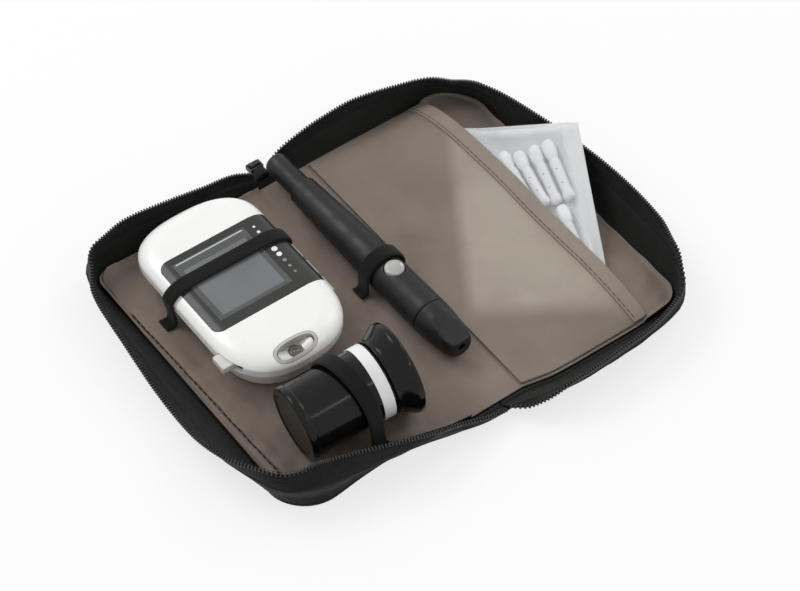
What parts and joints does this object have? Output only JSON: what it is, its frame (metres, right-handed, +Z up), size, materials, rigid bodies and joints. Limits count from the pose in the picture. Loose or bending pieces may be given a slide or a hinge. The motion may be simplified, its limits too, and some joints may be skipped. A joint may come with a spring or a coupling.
{
  "type": "glucose meter case",
  "caption": "Zipped soft case lying open like a book, with a meter, a lancing pen and a strip vial under elastic loops, and a bag of lancets in its pocket.",
  "frame": {"origin": "on the table under the middle of the fold", "axes": "+X across both halves to the half with the pocket, +Y along the fold to the end with the zip's slider, +Z up"},
  "size_m": [0.1783, 0.1479, 0.035],
  "materials": {
    "cloth_black": "matt",
    "tape_black": "woven",
    "teeth_black": "satin",
    "board_grey": "matt",
    "lining_taupe": "coated",
    "pocket_taupe": "coated",
    "elastic_black": "woven",
    "dark_metal": "black",
    "white_plastic": "gloss",
    "panel_black": "gloss",
    "window_grey": "clear over grey",
    "port_grey": "gloss",
    "circuit_green": "matt",
    "steel": "plain",
    "pen_grey": "satin",
    "release_grey": "gloss",
    "holder_white": "satin",
    "vial_black": "gloss",
    "label_white": "satin",
    "liner_white": "matt",
    "film_clear": "clear film",
    "lancet_white": "satin"
  },
  "bodies": {
    "case": {"left_cover_panel": "cloth_black", "left_stiffener_board": "board_grey", "left_lining": "lining_taupe", "left_side_wall": "cloth_black", "left_zip_tape": "tape_black", "left_zip_teeth": "teeth_black", "spine_strip": "cloth_black", "spine_lining": "lining_taupe", "back_end_tab": "cloth_black", "zip_slider": "dark_metal", "meter_loop": "elastic_black", "pen_loop": "elastic_black", "vial_loop": "elastic_black"},
    "right_half": {"right_cover_panel": "cloth_black", "right_stiffener_board": "board_grey", "right_lining": "lining_taupe", "right_side_wall": "cloth_black", "right_zip_tape": "tape_black", "right_zip_teeth": "teeth_black", "pocket_panel": "pocket_taupe", "pocket_hem": "pocket_taupe"},
    "zip_pull": {"zip_pull": "dark_metal"},
    "lancet_bag": {"lancet_bag_back": "film_clear", "lancet_bag_front": "film_clear", "spare_lancet_1": "lancet_white", "spare_lancet_2": "lancet_white", "spare_lancet_3": "lancet_white", "spare_lancet_4": "lancet_white", "spare_lancet_5": "lancet_white", "spare_lancet_6": "lancet_white"},
    "meter": {"meter_front_cover": "white_plastic", "meter_back_cover": "white_plastic", "meter_display_panel": "panel_black", "meter_display_window": "window_grey", "meter_screen": "window_grey", "meter_circuit_board": "circuit_green", "strip_port": "port_grey", "battery_door": "white_plastic", "coin_cell_1": "steel", "coin_cell_2": "steel"},
    "strip_ejector": {"strip_ejector": "white_plastic"},
    "power_key": {"power_key": "port_grey"},
    "back_key": {"back_key": "port_grey"},
    "forward_key": {"forward_key": "port_grey"},
    "pen": {"pen_body": "pen_grey", "drive_spring": "steel"},
    "pen_priming_button": {"pen_priming_button": "pen_grey"},
    "pen_release_button": {"pen_release_button": "release_grey"},
    "pen_collar": {"pen_collar": "pen_grey"},
    "pen_cap": {"pen_cap": "pen_grey"},
    "lancet_holder": {"lancet_holder": "holder_white", "pen_lancet": "lancet_white"},
    "vial": {"vial_body": "vial_black", "vial_liner": "liner_white", "vial_label": "label_white", "test_strips": "label_white"},
    "vial_lid": {"vial_lid": "vial_black"}
  },
  "joints": [
    {"name": "right_half_fold", "type": "hinge", "parent": "case", "child": "right_half", "pos_m": [0, 0, 0.021], "axis": [0, 1, 0], "range_deg": [-179, 0], "deforming": ["spine_strip", "spine_lining"]},
    {"name": "zip_pull_swing", "type": "hinge", "parent": "case", "child": "zip_pull", "pos_m": [-0.0056, 0.0701, 0.0044], "axis": [1, 0, 0], "range_deg": [0, 100]},
    {"name": "bag_draw", "type": "slide", "parent": "right_half", "child": "lancet_bag", "axis": [0.6157, 0, 0.788], "range_m": [0, 0.07], "deforming": ["pocket_panel", "pocket_hem"]},
    {"name": "meter_lift", "type": "slide", "parent": "case", "child": "meter", "axis": [0, 0, 1], "range_m": [0, 0.08], "deforming": ["meter_loop"]},
    {"name": "strip_ejector_slide", "type": "slide", "parent": "meter", "child": "strip_ejector", "axis": [0, -1, 0], "range_m": [0, 0.003], "stiffness_N_per_m": 300},
    {"name": "power_key_press", "type": "slide", "parent": "meter", "child": "power_key", "axis": [-1, 0, 0], "range_m": [0, 0.0003], "stiffness_N_per_m": 400},
    {"name": "back_key_press", "type": "slide", "parent": "meter", "child": "back_key", "axis": [-1, 0, 0], "range_m": [0, 0.0003], "stiffness_N_per_m": 400},
    {"name": "forward_key_press", "type": "slide", "parent": "meter", "child": "forward_key", "axis": [-1, 0, 0], "range_m": [0, 0.0003], "stiffness_N_per_m": 400},
    {"name": "pen_lift", "type": "slide", "parent": "case", "child": "pen", "axis": [0, 0, 1], "range_m": [0, 0.08], "deforming": ["pen_loop"]},
    {"name": "pen_priming_press", "type": "slide", "parent": "pen", "child": "pen_priming_button", "axis": [0.023, -0.9997, 0], "range_m": [0, 0.005], "stiffness_N_per_m": 400, "deforming": ["drive_spring"]},
    {"name": "pen_release_press", "type": "slide", "parent": "pen", "child": "pen_release_button", "axis": [0, 0, -1], "range_m": [0, 0.0008], "stiffness_N_per_m": 500},
    {"name": "pen_cap_pull", "type": "slide", "parent": "pen", "child": "pen_collar", "axis": [0.023, -0.9997, 0], "range_m": [0, 0.018]},
    {"name": "pen_cap_dial", "type": "hinge", "parent": "pen_collar", "child": "pen_cap", "pos_m": [0.00079, -0.03169, 0.0097], "axis": [0.023, -0.9997, 0], "range_deg": [-150, 150]},
    {"name": "lancet_drive", "type": "slide", "parent": "pen", "child": "lancet_holder", "axis": [0.023, -0.9997, 0], "range_m": [0, 0.0085], "stiffness_N_per_m": 120, "deforming": ["drive_spring"]},
    {"name": "vial_lift", "type": "slide", "parent": "case", "child": "vial", "axis": [0, 0, 1], "range_m": [0, 0.08], "deforming": ["vial_loop"]},
    {"name": "vial_lid_swing", "type": "hinge", "parent": "vial", "child": "vial_lid", "pos_m": [-0.03276, -0.03306, 0.0303], "axis": [-0.1096, -0.8601, 0.4983], "range_deg": [0, 50]}
  ]
}
